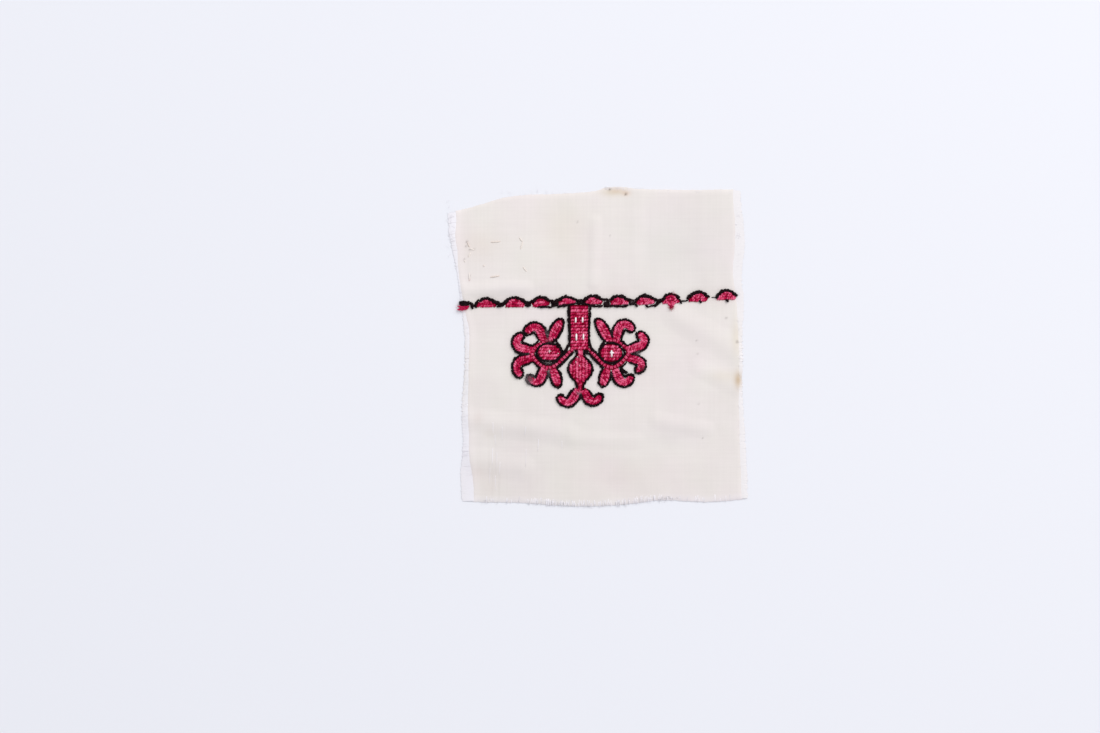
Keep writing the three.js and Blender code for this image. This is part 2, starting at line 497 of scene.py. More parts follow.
weft_pad = maths(tree, "MULTIPLY", flatter[0], steep[1])
pads = add_node(tree, "ShaderNodeMix", {"Factor": warp_over, "A": weft_pad, "B": warp_pad})
weave = pads.outputs[0]
upright_slubs = strand_noise(tree, place, (1900.0, 38.0, 1.0), 3.0)
level_slubs = strand_noise(tree, place, (60.0, 1700.0, 1.0), 3.0)
slubs = maths(tree, "ADD", upright_slubs, level_slubs)
clouds = noise(tree, place, 95.0, 4.0)
mottle = two_colours(tree, clouds, 0.32, (0.750, 0.696, 0.661), 0.68, (0.779, 0.723, 0.691))
clouds = noise(tree, place, 62.0, 2.0)
drift = two_colours(tree, clouds, 0.3, (0.990, 1.0, 0.980), 0.7, (1.0, 0.975, 0.995))
slub_range = {"Value": slubs, "From Min": 0.7, "From Max": 1.3, "To Min": 0.98, "To Max": 1.016}
slub_shade = add_node(tree, "ShaderNodeMapRange", slub_range).outputs[0]
weave_range = {"Value": weave, "To Min": 0.992, "To Max": 1.006}
weave_shade = add_node(tree, "ShaderNodeMapRange", weave_range).outputs[0]
thread_shade = maths(tree, "MULTIPLY", slub_shade, weave_shade)
drifted = vector_maths(tree, "MULTIPLY", mottle, drift)
tinted = vector_maths(tree, "MULTIPLY", drifted, from_point(tree, "tint", "Color"))
shaded = vector_maths(tree, "SCALE", tinted, thread_shade)
relief = maths(tree, "MULTIPLY_ADD", slubs, 0.5, weave)
matte = {"Roughness": 0.9, "Specular IOR Level": 0.25, "Sheen Weight": 0.15, "Sheen Roughness": 0.6}
dress_shader(tree, shader, shaded, relief, 0.22, 0.00002, matte)
cloth.data.materials.append(cotton)
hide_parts("ground_cloth")

# The frayed edges. Bare ends of the cotton's own threads stand out of the weave: strips of bare
# weft along the two sides, short warp ends along the lower edge and a few hairs elsewhere.
frayed = np.random.default_rng(11)
rings = 7
end_sides = 5
outwards = np.linspace(0, 1, rings)
bare_pitch = 0.31
bare_thickness = 0.08
bare_ridge = 0.012
bare_rows = 1500
bare_columns = 9
bare_up = np.linspace(0.003, 0.997, bare_rows)
tip_stray = 0.09
tip_notch = 0.14
root_rise = 0.13
tip_rise = 0.11
lowest_end = 0.06
white_share = 0.65
fibre_offset = 7


def tube_mesh(name, lines, radii, sides, twist=0.0, lobe=0.0, seed=5, heights=None):
    """Threads as closed tubes. lines is an array of centre lines, one row of points for each
    thread, and radii the radius at each point. The section is a circle with a lobe for each of
    two plies, and it turns by twist radians a millimetre. heights makes it an oval instead, with
    that half height at each point. The map called fibres has turns round the thread across and
    millimetres along it up, with fibre_offset between one thread and the next."""
    random = np.random.default_rng(seed)
    count, rings = radii.shape
    steps = np.gradient(lines, axis=1)
    forward = steps / np.linalg.norm(steps, axis=2, keepdims=True)
    sideways = np.cross(forward, (0, 0, 1.0))
    sideways /= np.linalg.norm(sideways, axis=2, keepdims=True)
    upwards = np.cross(sideways, forward)
    strides = np.linalg.norm(np.diff(lines, axis=1, prepend=lines[:, :1]), axis=2)
    travelled = np.cumsum(strides, axis=1)[..., None]
    angle = np.arange(sides) * 2 * math.pi / sides - math.pi / 2
    crest = np.cos(2 * (angle - twist * travelled - random.uniform(0, 6.3, (count, 1))[..., None]))
    aside = radii[..., None] * (1 + lobe * crest) * np.cos(angle)
    above = (radii if heights is None else heights)[..., None] * (1 + lobe * crest) * np.sin(angle)
    points = lines[:, :, None] + aside[..., None] * sideways[:, :, None]
    points = points + above[..., None] * upwards[:, :, None]
    number = np.arange(count * rings * sides).reshape(count, rings, sides)
    near = number[:, :-1]
    far = number[:, 1:]
    quads = np.stack([near, far, np.roll(far, -1, 2), np.roll(near, -1, 2)], axis=-1).reshape(-1, 4)
    caps = np.concatenate([number[:, 0], number[:, -1, ::-1]])
    piece = make_piece(name, points.reshape(-1, 3), quads, caps)
    # Painted shade in the grooves between the plies, painted highlight on their crests.
    point_value(piece, "groove", (0.5 + 0.5 * crest).ravel())
    around = np.arange(sides) / sides - twist * travelled / (2 * math.pi)
    along = travelled + fibre_offset * np.arange(count)[:, None, None] + np.zeros(sides)
    ahead = around + 1 / sides
    corner_u = np.stack([around[:, :-1], around[:, 1:], ahead[:, 1:], ahead[:, :-1]], axis=-1)
    corner_v = np.stack([along[:, :-1], along[:, 1:], along[:, 1:], along[:, :-1]], axis=-1)
    uv = np.zeros((len(piece.data.loops), 2), np.float32)
    uv[: corner_u.size, 0] = corner_u.ravel()
    uv[: corner_v.size, 1] = corner_v.ravel()
    piece.data.uv_layers.new(name="fibres").uv.foreach_set("vector", uv.ravel())
    return piece


def left_of(runs):
    """The direction to the left of each run, one millimetre long: the run turned by a quarter and
    divided by its length."""
    lengths = np.maximum(np.linalg.norm(runs, axis=1, keepdims=True), 1e-9)
    return np.column_stack([-runs[:, 1], runs[:, 0]]) / lengths


def fray_lines(roots, tips, wander, rise, droop):
    """Centre lines of thread ends, from inside the weave to their tips. Each bends a little to one
    side and waves. It starts at its rise over the cloth's underside and comes down by its droop."""
    count = len(roots)
    run = tips - roots
    bend = frayed.normal(0, 1, count)[:, None] * outwards**2
    height = frayed.normal(0, 0.35, count)[:, None]
    turns = frayed.uniform(4, 9, count)[:, None]
    wave = height * np.sin(outwards * turns + frayed.uniform(0, 6, count)[:, None])
    sideways = wander * (bend + wave * outwards)
    xy = roots[:, None] + run[:, None] * outwards[:, None]
    xy += sideways[..., None] * left_of(run)[:, None]
    z = underside(xy[..., 0], xy[..., 1]) + rise - droop[:, None] * outwards**2
    z += frayed.normal(0, 0.03, count)[:, None] * outwards
    return np.dstack([xy, np.maximum(z, lowest_end)])


def bare_weft(name, roots, tips, outward, paleness, random):
    """A strip of bare weft threads as one joined sheet. Each thread runs straight from its root to
    its tip, which strays a little, and is ridged across by a sine's height. Between two threads
    there is a notch in the line of tips. outward is 1 if the tips are on the right and -1 if they
    are on the left, where the faces are turned over to point up. paleness multiplies the cotton's
    colour."""
    root_x, root_y = roots
    tip_x, tip_y = tips
    thread = np.floor(tip_y / bare_pitch).astype(int)
    thread -= thread.min()
    ridge = np.abs(np.sin(math.pi * tip_y / bare_pitch))
    stray = random.normal(0, tip_stray, thread.max() + 1)[thread]
    tip_x = tip_x + stray - outward * tip_notch * (1 - ridge)
    out = np.linspace(0, 1, bare_columns)
    x = (root_x[:, None] + (tip_x - root_x)[:, None] * out).ravel()
    y = (root_y[:, None] + (tip_y - root_y)[:, None] * out).ravel()
    top = (underside(x, y) + root_rise).reshape(bare_rows, bare_columns)
    top = (top * (1 - out**2) + tip_rise * out**2 + bare_ridge * ridge[:, None]).ravel()
    piece = sheet_piece(name, x, y, top, top - bare_thickness, bare_columns, bare_rows)
    if outward < 0:
        piece.data.flip_normals()
    tint = cotton_tint(x, y)
    tint[:, :3] *= paleness
    point_value(piece, "tint", np.tile(tint, (2, 1)))
    corner_point = np.zeros(len(piece.data.loops), np.int32)
    piece.data.loops.foreach_get("vertex_index", corner_point)
    uv = np.tile(np.column_stack([y, x]), (2, 1))[corner_point].astype(np.float32)
    piece.data.uv_layers.new(name="fibres").uv.foreach_set("vector", uv.ravel())
    return piece


bare_left = bare_weft(
    "bare_weft_threads",
    cloth_point(np.full(bare_rows, 0.008), bare_up, left_weave, lower_weave),
    cloth_point(np.zeros(bare_rows), bare_up, left_tips, lower_tips),
    -1,
    (1, 1, 1),
    frayed,
)
edge_x, edge_y = cloth_point(np.ones(bare_rows), bare_up, left_weave, lower_weave)
bare_right = bare_weft(
    "bare_weft_of_right_side",
    cloth_point(np.full(bare_rows, 0.992), bare_up, left_weave, lower_weave),
    (edge_x - smooth_curve(right_tips, edge_y + cloth_height / 2), edge_y),
    1,
    (0.98, 0.968, 0.928),
    np.random.default_rng(12),
)

# Single weft ends that lie over the bare weft of the left side and reach past it.
weft_count = 36
weft_radius = 0.04
weft_up = np.sort(frayed.uniform(0.006, 0.994, weft_count))
roots = cloth_point(np.full(weft_count, 0.004), weft_up, left_weave, lower_weave).T
tips = cloth_point(np.zeros(weft_count), weft_up, left_tips, lower_tips).T
tips[:, 0] += frayed.normal(0.05, 0.2, weft_count)
weft_ends = fray_lines(roots, tips, 0.12, 0.17, frayed.uniform(0.05, 0.25, weft_count))

# Short warp ends along the lower edge, most of them left of its middle. They have kept their
# twist and lie on the cloth. Most are whiter than it, and the rest are greyed: painted shade
# for the dark gaps between the ends.
warp_count = 170
warp_radius = 0.075
warp_across = np.concatenate([frayed.uniform(0.2, 0.68, 110), frayed.uniform(0.02, 0.98, 60)])
root_up = frayed.uniform(0.009, 0.022, warp_count)
roots = cloth_point(warp_across, root_up, left_weave, lower_weave).T
tips = cloth_point(warp_across, np.zeros(warp_count), left_weave, lower_tips).T
tips[:, 0] += frayed.normal(0, 0.12, warp_count)
tips[:, 1] += frayed.normal(0.12, 0.15, warp_count)
droop = frayed.uniform(0.0, 0.25, warp_count)
warp_ends = fray_lines(roots, tips, 0.1, cloth_thickness - 0.01, droop)

# Threads that stand a little out of the cloth's face at the lower left: each one's place across,
# and from where to where it goes up the cloth.
pulled_radius = 0.06
pulled = np.array(
    [
        (-26.4, -19.2, -22.6), (-25.9, -22.4, -25.0), (-26.5, -25.8, -30.4),
        (-25.4, -27.0, -31.2), (-25.8, -33.0, -37.0), (-27.2, -31.0, -35.2),
        (-24.6, -29.5, -32.8), (-24.0, -20.3, -24.0), (-17.8, -26.1, -30.8),
        (-17.9, -20.3, -22.6), (-14.6, -23.5, -26.6), (-8.5, -24.0, -26.1),
    ]
)
level = np.zeros(len(pulled))
pulled_ends = fray_lines(pulled[:, [0, 1]], pulled[:, [0, 2]], 0.15, cloth_thickness + 0.01, level)

# Loose hairs: how many, where they start and point, their radius and how grey the greyest is,
# along the upper edge's stained tuft, the rest of the upper edge, the right edge, the tangle at
# the lower edge, the lower left corner and the upper left side.
hair_groups = (
    (44, (2.8, 9.0), (40.9, 41.5), (-0.5, 0.5), (0.2, 0.8), 0.045, 0.95),
    (34, (-26.0, 37.0), (40.0, 40.6), (-0.6, 0.6), (0.3, 1.0), 0.03, 0.9),
    (40, (36.6, 37.4), (-36.0, 38.0), (0.3, 0.9), (-0.6, 0.6), 0.03, 0.9),
    (30, (16.3, 22.2), (-39.4, -38.4), (-0.9, 0.9), (-0.6, 0.5), 0.05, 0.55),
    (14, (-29.0, -25.0), (-39.8, -38.6), (-0.3, 0.3), (-1.0, -0.4), 0.045, 0.8),
    (12, (-38.0, -36.0), (24.0, 39.0), (-1.3, -0.4), (-0.8, 0.8), 0.04, 0.9),
)
hair_roots = []
hair_runs = []
hair_radii = []
hair_greys = []
for count, across_range, up_range, run_across, run_up, radius, grey_from in hair_groups:
    for pairs, across, up in ((hair_roots, across_range, up_range), (hair_runs, run_across, run_up)):
        pairs.append(np.column_stack([frayed.uniform(*across, count), frayed.uniform(*up, count)]))
    hair_radii.append(np.full(count, radius))
    hair_greys.append(frayed.uniform(grey_from, 1.05, count))
roots = np.concatenate(hair_roots)
tips = roots + np.concatenate(hair_runs)
hairs = fray_lines(roots, tips, 0.4, cloth_thickness - 0.02, frayed.uniform(0.0, 0.25, len(roots)))

ends = np.concatenate([weft_ends, warp_ends, pulled_ends, hairs])
counts = (weft_count, warp_count, len(pulled))
end_radii = np.concatenate([np.repeat((weft_radius, warp_radius, pulled_radius), counts), *hair_radii])
end_radii = end_radii[:, None] * (1 - 0.6 * outwards**3) * frayed.uniform(0.75, 1.2, (len(ends), 1))
white_warp = frayed.random(warp_count) < white_share
# The grey ends are painted shade; the white ones are whiter thread.
warp_whites_and_shade = np.where(white_warp, 1.12, frayed.uniform(0.78, 0.95, warp_count))
pulled_greys = np.full(len(pulled), 1.08)
end_greys = np.concatenate([np.full(weft_count, 1.0), warp_whites_and_shade, pulled_greys, *hair_greys])
thread_ends = tube_mesh("frayed_thread_ends", ends, end_radii, end_sides, heights=0.6 * end_radii)
end_tint = cotton_tint(*np.repeat(ends.reshape(-1, 3)[:, :2], end_sides, axis=0).T)
point_value(thread_ends, "tint", end_tint * np.repeat(end_greys, rings * end_sides)[:, None])
frayed_cotton, tree, shader = new_material("frayed_cotton")
fibres = add_node(tree, "ShaderNodeUVMap", {}, uv_map="fibres").outputs["UV"]
strands = strand_noise(tree, fibres, (14.0, 0.9, 1.0), 2.0)
# The frayed cream is cooler than the cloth's: painted shade and table colour that show through the
# thin threads.
cream = two_colours(tree, strands, 0.3, (0.806, 0.775, 0.810), 0.7, (0.848, 0.816, 0.848))
tinted = vector_maths(tree, "MULTIPLY", cream, from_point(tree, "tint", "Color"))
dress_shader(tree, shader, tinted, strands, 0.6, 0.00003, {"Roughness": 0.85, "Sheen Weight": 0.25})
threadwork = [thread_ends, bare_left, bare_right]
for piece in threadwork:
    piece.data.materials.append(frayed_cotton)

# The crimson filling. Rows of short slanting stitches of twisted crimson cotton lie side by
# side inside every leaf, petal, oval and scallop, each row following the shape's own line.
# They come up through the cloth, lie over a thin bed of threads and go down again.
stitching = np.random.default_rng(23)
stitch_sides = 8
stitch_rings = 9
stitch_twist = 4.5
stitch_lobe = 0.1
pad_sides = 12
pad_rings = 30
pad_rise = 0.17
crimson_thickness = 0.42
crimson_pitch = 0.5
crimson_length = 0.6
crimson_slant = 0.74
under_rope = 0.18
row_pitch = 0.81
path_step = 0.05


def distance_along(path):
    """Distance from the start of a path to each of its points."""
    return np.concatenate([[0], np.cumsum(np.hypot(*np.diff(path, axis=0).T))])


def points_at(path, at):
    """The points of a path at given distances from its start."""
    travelled = distance_along(path)
    return np.column_stack([np.interp(at, travelled, path[:, axis]) for axis in (0, 1)])


def evenly(path, spacing=path_step):
    """The same path with its points an even distance apart."""
    path = np.asarray(path, float)
    whole = distance_along(path)[-1]
    return points_at(path, np.linspace(0, whole, max(2, int(round(whole / spacing)) + 1)))


def smooth_path(points):
    """A smooth line through points: x and y are each a smooth curve of the distance travelled
    from point to point."""
    points = np.asarray(points, float)
    travelled = distance_along(points)
    at = np.linspace(0, travelled[-1], 60 * len(points))
    tables = [{"at": travelled, "inset": points[:, axis]} for axis in (0, 1)]
    return np.column_stack([smooth_curve(table, at) for table in tables])


def leftwards(path):
    """At each point of a path, the direction to its left."""
    return left_of(np.gradient(path, axis=0))


def on_cloth(xy, height):
    """Points at a height over the cloth's face."""
    return np.dstack([xy, face(xy[..., 0], xy[..., 1]) + height])


def row_of_stitches(path, pitch, length, slant, jitter=0.03):
    """Starts and ends of one row's stitches. Their middles follow the path at an even pitch. Each
    is longer than the pitch, so it lies beside the next, and it crosses the path by the slant.
    jitter is how far a stitch strays, in millimetres."""
    whole = distance_along(path)[-1]
    count = max(1, int(round((whole - 0.3 * length) / pitch)))
    room = max(0.0, whole - 0.55 * length)
    middles = (whole - room) / 2 + (np.arange(count) + 0.5) * room / count
    middles = middles + stitching.normal(0, 0.07 * pitch, count)
    lengths = np.minimum(length * stitching.uniform(0.88, 1.12, count), whole)
    a = points_at(path, np.clip(middles - lengths / 2, 0, whole))
    b = points_at(path, np.clip(middles + lengths / 2, 0, whole))
    slants = slant * stitching.uniform(0.75, 1.25, (count, 1))
    drift = stitching.normal(0, jitter, (count, 2))
    aside = left_of(b - a) * slants / 2
    return np.stack([a - aside + drift, b + aside + drift], axis=1)


def crimson_row(rows, path, slant=1):
    """Adds one row of crimson stitches along a path."""
    slant = slant * crimson_slant
    rows.append(row_of_stitches(evenly(path), crimson_pitch, crimson_length, slant))


def stitch_mesh(name, stitches, thickness, bed, paleness, painted_crest_light=0.3, uneven=0.12):
    """Stitches as one joined mesh. Each rises out of the cloth at its start, lies on it over most
    of its length and goes down at its end. bed is how high the threads below hold it. paleness
    gives one number for each stitch, kept on its points. painted_crest_light is how much paler the
    top of a stitch is painted than its two ends: painted highlight on the top and painted shade
    where it goes down. uneven is how much the thicknesses differ."""
    along = np.linspace(0, 1, stitch_rings)
    starts = stitches[:, 0]
    run = stitches[:, 1] - starts
    xy = starts[:, None] + run[:, None] * along[:, None]
    arch = 1 - np.abs(2 * along - 1) ** 2.4
    thick = thickness * stitching.uniform(1 - uneven, 1 + uneven, (len(stitches), 1))
    rise = bed + stitching.uniform(-0.04, 0.04, (len(stitches), 1))
    lines = on_cloth(xy, rise * arch + thick * (0.8 * arch - 0.36))
    radii = thick / 2 * np.sqrt(np.clip(1 - np.abs(2 * along - 1) ** 5, 0.05, 1))
    seed = 100 + len(stitches)
    piece = tube_mesh(name, lines, radii, stitch_sides, stitch_twist, stitch_lobe, seed)
    # Painted highlight on each stitch's arched top and painted shade at the ends where it goes down.
    paleness_and_painted_crest = paleness[:, None] + painted_crest_light * (arch - 0.7)
    point_value(piece, "pale", np.repeat(paleness_and_painted_crest.ravel(), stitch_sides))
    return piece


def pad_mesh(name, pads, paleness):
    """The beds of threads under the rows, as one joined mesh: long low lenses, each along its own
    line with its own half widths."""
    lines = []
    halves = []
    for line, half in pads:
        travelled = distance_along(line)
        at = np.linspace(0, travelled[-1], pad_rings)
        lines.append(points_at(line, at))
        halves.append(np.interp(at, travelled, half))
    halves = np.maximum(halves, 0.06)
    heights = np.full(halves.shape, pad_rise)
    heights[:, [0, -1]] *= 0.4
    piece = tube_mesh(name, on_cloth(np.array(lines), 0), halves, pad_sides, heights=heights)
    point_value(piece, "pale", np.full(len(piece.data.vertices), paleness))
    return piece


flower_rows = []
stem_rows = []
border_rows = []
flower_pads = []
stem_pads = []
border_pads = []

# The flowers: the middle of each oval, and which way it faces. The tables below give places
# outwards from the stem and upwards from that middle.
flower_middles = {"left": (-11.83, -1.04), "right": (4.29, -1.17)}
facing = {"left": -1, "right": 1}

# Each curled petal: where it starts, its heading in degrees, its straight run, the radius and
# turn of its curl, its half width, and its half width at the end of the curl.
curled_petals = {
    "left": (
        (1.40, 3.05, 70, 2.55, 1.74, -163, 1.09, 0.84),
        (4.20, 0.42, 12, 3.18, 1.52, 182, 1.05, 0.84),
        (4.30, -1.38, -14, 2.70, 2.02, -150, 1.08, 0.76),
        (1.15, -4.05, -69, 2.95, 1.43, 170, 1.12, 0.64),
    ),
    "right": (
        (1.17, 3.30, 76, 2.95, 1.70, -172, 1.09, 0.84),
        (4.05, 0.62, 19, 3.80, 1.42, 176, 1.07, 0.78),
        (4.25, -1.20, -18, 3.08, 1.12, -186, 1.09, 0.72),
        (1.00, -4.15, -70, 2.62, 1.64, 168, 1.09, 0.75),
    ),
}

# Each leaf: where it starts, its heading, its length, how far it bends, its half width, and how
# pointed its end is, from 0.5 for round to 1 for sharp.
plain_leaves = {
    "left": ((-0.45, 3.20, 115, 6.05, 10, 1.14, 0.72), (-0.95, -4.30, -109, 4.75, 4, 1.09, 0.5)),
    "right": ((-0.45, 3.05, 118, 6.60, 5, 1.14, 0.72), (-0.95, -4.10, -107, 4.70, -4, 1.11, 0.5)),
}

# The pair of curled leaves under the bud, in the cloth's own places.
foot_leaves = (
    (-4.02, -10.53, -123, 3.38, 1.66, -156, 1.10, 0.66),
    (-3.16, -10.66, -57, 2.94, 1.54, 160, 1.05, 0.68),
)


def spine(base, heading, run, radius, turn):
    """A petal's middle line: straight from its base for the run, then an arc of the radius through
    the turn, to the left if positive. Returns its points, the directions to its left, and the
    share of the whole length at each point."""
    start = math.radians(heading)
    sign = math.copysign(1, turn)
    whole = run + radius * abs(math.radians(turn))
    at = np.linspace(0, whole, 120)
    bent = np.maximum(at - run, 0) / radius * sign + start
    straight = np.minimum(at, run)
    x = base[0] + straight * math.cos(start) + sign * radius * (np.sin(bent) - math.sin(start))
    y = base[1] + straight * math.sin(start) - sign * radius * (np.cos(bent) - math.cos(start))
    left = np.column_stack([-np.sin(bent), np.cos(bent)])
    return np.column_stack([x, y]), left, at / whole


def curled_petal(x, y, heading, run, radius, turn, half, tip):
    """A curled petal's middle line, left directions, half widths, radius and side of the curl. It
    swells from its base, narrows to the tip's half width and ends in a round of that size."""
    line, left, share = spine((x, y), heading, run, radius, turn)
    swell = 0.7 + 0.3 * np.clip(share / 0.25, 0, 1) ** 0.8
    ease = np.clip((share - 0.3) / 0.5, 0, 1)
    ease = ease * ease * (3 - 2 * ease)
    to_end = np.clip((1 - share) * distance_along(line)[-1] / tip, 0, 1)
    width = (half + (tip - half) * ease) * swell * np.sqrt(1 - (1 - to_end) ** 2)
    return line, left, width, radius, math.copysign(1, turn)


def plain_leaf(x, y, heading, whole, bend, half, point):
    """The same of a leaf: widest near its middle, narrower at its base, and ending in a round or
    in a point."""
    radius = whole * 0.7 / abs(math.radians(bend))
    line, left, share = spine((x, y), heading, whole * 0.3, radius, bend)
    before = 1 - 0.4 * np.clip((0.42 - share) / 0.42, 0, 1) ** 2
    after = (1 - np.clip((share - 0.42) / 0.58, 0, 1) ** 2.5) ** point
    return line, left, half * before * after, radius, math.copysign(1, bend)


side_row = 0.66
clear_of_middle = 0.4


def fill_petals(rows, pads, petals):
    """A bed for each petal, and three rows of stitches: down its middle and, two thirds of the way
    out to its edge, along each side. In the curl a row stays clear of the curl's own middle."""
    for line, left, width, radius, curl in petals:
        pads.append((line, width + under_rope))
        for share in (-side_row, 0, side_row):
            offset = share * width
            if share * curl > 0:
                offset = np.clip(offset, clear_of_middle - radius, radius - clear_of_middle)
            inside = width > (0.55 if share else 0.3)
            crimson_row(rows, (line + offset[:, None] * left)[inside])


flower_petals = {}
for side, middle in flower_middles.items():
    flip = np.array([facing[side], 1])
    shapes = [curled_petal(*row) for row in curled_petals[side]]
    shapes += [plain_leaf(*row) for row in plain_leaves[side]]
    petals = [(line * flip + middle, left * flip, *rest) for line, left, *rest in shapes]
    fill_petals(flower_rows, flower_pads, petals)
    flower_petals[side] = petals
foot_petals = [curled_petal(*row) for row in foot_leaves]
fill_petals(stem_rows, stem_pads, foot_petals)

# The ovals in the flowers' middles: half sizes across and up. Each has five level rows.
oval_sizes = {"left": (2.86, 2.0), "right": (2.76, 2.26)}
for side, middle in flower_middles.items():
    wide, high = oval_sizes[side]
    turn = np.linspace(0, math.pi, 60)
    line = np.column_stack([middle[0] - (wide + under_rope) * np.cos(turn), np.full(60, middle[1])])
    flower_pads.append((line, (high + under_rope) * np.sin(turn) ** 1.1))
    for level in (-2, -1, 0, 1, 2):
        y = level * row_pitch
        half = wide * math.sqrt(1 - min(0.95, (abs(y) - 0.1) / high) ** 2) + 0.05
        ends = [[middle[0] - half, middle[1] + y], [middle[0] + half, middle[1] + y]]
        crimson_row(flower_rows, ends)

# The ring of small square stitches that leaves the stem's foot and goes round each oval.
ring_plans = {
    "left": (
        (-6.2, 0.95), (-5.5, 0.22), (-3.6, -1.6), (-1.8, -3.25), (0, -3.98), (2.1, -3.38),
        (3.9, -1.56), (4.42, -0.39), (4.03, 0.73), (2.08, 2.16), (0.52, 3.20), (-1.5, 3.20),
    ),
    "right": (
        (-5.95, 1.15), (-5.3, 0.45), (-3.64, -1.3), (-2.1, -2.9), (0.1, -3.8), (2.1, -2.95),
        (3.6, -1.4), (4.45, -0.4), (4.5, 0.5), (3.38, 1.8), (1.8, 3.0), (0.4, 3.35), (-1.4, 3.2),
    ),
}
ring_half = 0.42
ring_pitch = 0.92
ring_thickness = 0.34
strand_gap = 0.3
square_overlap = 0.06
branch_share = 0.28
branch_bed = 0.12
ring_bed = 0.27
ring_paths = {}
ring_stitches = []
for side, middle in flower_middles.items():
    flip = np.array([facing[side], 1])
    path = evenly(smooth_path(np.array(ring_plans[side]) * flip + middle))
    ring_paths[side] = path
    along_ring = np.linspace(0, 1, len(path))
    past_ring = np.where(along_ring < branch_share, branch_bed, ring_bed)
    flower_pads.append((path, ring_half + past_ring))
    aside = leftwards(path) * (ring_half + square_overlap)
    count = int(round(distance_along(path)[-1] / ring_pitch))
    for strand in (-strand_gap / 2, strand_gap / 2):
        picks = ((np.arange(count) + 0.5 + strand / ring_pitch) * len(path) / count).astype(int)
        ring_stitches.append(np.stack([(path + aside)[picks], (path - aside)[picks]], axis=1))

# The stem: level rows between its two ropes, over a bed that reaches a little past them, and a
# narrow neck of upright rows down to the bud.
stem_middle = -4.0
stem_half = 2.35
stem_top = 11.0
stem_foot = -0.35
stem_levels = 14
above_stem = 0.3
below_stem = 0.2
beside_stem = 0.16
neck_half = 0.62
bed_points = 57
bed_y = np.linspace(stem_top + above_stem, stem_foot - below_stem, bed_points)
bed_line = np.column_stack([np.full(bed_points, stem_middle), bed_y])
stem_pads.append((bed_line, np.full(bed_points, stem_half + beside_stem)))
for level in range(stem_levels):
    y = stem_top - (level + 0.5) * (stem_top - stem_foot) / stem_levels
    path = [[stem_middle - stem_half, y], [stem_middle + stem_half, y]]
    crimson_row(stem_rows, path, 1 if level % 2 else 0.8)
for x in (-3.9, -3.35):
    crimson_row(stem_rows, [[x, -0.3], [x - 0.02, -1.3], [x - 0.05, -2.4]])
neck = evenly([[-3.62, 0.2], [-3.66, -2.4]], 0.1)
stem_pads.append((neck, np.full(len(neck), neck_half)))

# The bud: half widths at heights down its middle, filled with upright rows whose slant turns
# from column to column.
bud_middle = -3.74
bud_profile = {
    "at": (-10.9, -9.3, -8.45, -7.41, -6.37, -5.33, -4.29, -3.25, -2.21, -1.17),
    "inset": (0.62, 0.68, 1.25, 2.1, 2.75, 2.98, 2.75, 2.08, 0.95, 0.55),
}
bud_points = 300
heights = np.linspace(bud_profile["at"][0], bud_profile["at"][-1], bud_points)
bud_half = smooth_curve(bud_profile, heights)
bud_line = np.column_stack([np.full(bud_points, bud_middle), heights])
stem_pads.append((bud_line, bud_half + under_rope))
for column in range(-3, 4):
    inside = bud_half > abs(column) * row_pitch + (0.15 if column else 0.1)
    crimson_row(stem_rows, (bud_line + (column * row_pitch, 0))[inside], 1 if column % 2 else -1)

# The border: ten low scallops, and under each the height of the crimson's foot. They climb a
# little to the right. Five short stitches hang from the eighth.
scallops = {
    "start_x": (-31.3, -23.5, -16.5, -9.75, -3.0, 3.8, 10.5, 17.2, 24.0, 31.4),
    "peak_x": (-28.3, -20.9, -14.0, -7.15, -0.25, 6.1, 12.9, 19.8, 27.1, 34.3),
    "end_x": (-25.1, -17.8, -11.3, -4.55, 2.35, 9.2, 16.0, 22.5, 29.7, 37.1),
    "start_y": (11.3, 11.6, 11.8, 12.2, 12.3, 12.4, 12.2, 12.2, 12.9, 13.2),
    "peak_y": (13.0, 13.3, 13.4, 13.45, 13.65, 13.65, 13.75, 14.3, 14.7, 15.15),
    "end_y": (11.6, 11.7, 12.0, 12.3, 12.4, 12.3, 12.5, 12.2, 13.3, 13.5),
    "foot_left": (10.75, 10.75, 10.7, 11.3, 11.4, 11.3, 11.3, 11.5, 12.1, 12.6),
    "foot_right": (10.75, 10.75, 11.2, 11.8, 11.5, 11.4, 11.5, 11.9, 12.3, 12.8),
}
arch_points = 80
arch_roundness = 1.9
arch_inset = 0.3
row_inset = 0.36
above_foot = 0.3
arches = []
for start_x, peak_x, end_x, start_y, peak_y, end_y, foot_left, foot_right in zip(*scallops.values()):
    part = np.linspace(-1, 1, arch_points)
    end = np.where(part < 0, start_y, end_y)
    x = peak_x + np.where(part < 0, peak_x - start_x, end_x - peak_x) * part
    arch = np.column_stack([x, end + (peak_y - end) * (1 - np.abs(part) ** arch_roundness)])
    arches.append(arch)
    foot = np.interp(part, (-1, 1), (foot_left, foot_right))
    inner = arch[:, 1] - arch_inset
    between = np.column_stack([x, (inner + foot) / 2])
    border_pads.append((between[5:-5], np.maximum((inner - foot) / 2 - 0.04, 0.1)[5:-5]))
    crimson_row(border_rows, np.column_stack([x, foot + above_foot])[5:-5])
    crimson_row(border_rows, np.column_stack([x, inner - row_inset])[18:-18], -1)
    crimson_row(border_rows, between[9:-9])
hanging = np.array(
    [
        (19.0, 12.3, 19.35, 11.1), (19.4, 12.1, 19.6, 10.7), (19.9, 12.0, 19.95, 10.35),
        (20.4, 12.1, 20.2, 10.8), (20.8, 12.3, 20.5, 11.2),
    ]
)
border_rows.append(hanging.reshape(-1, 2, 2))


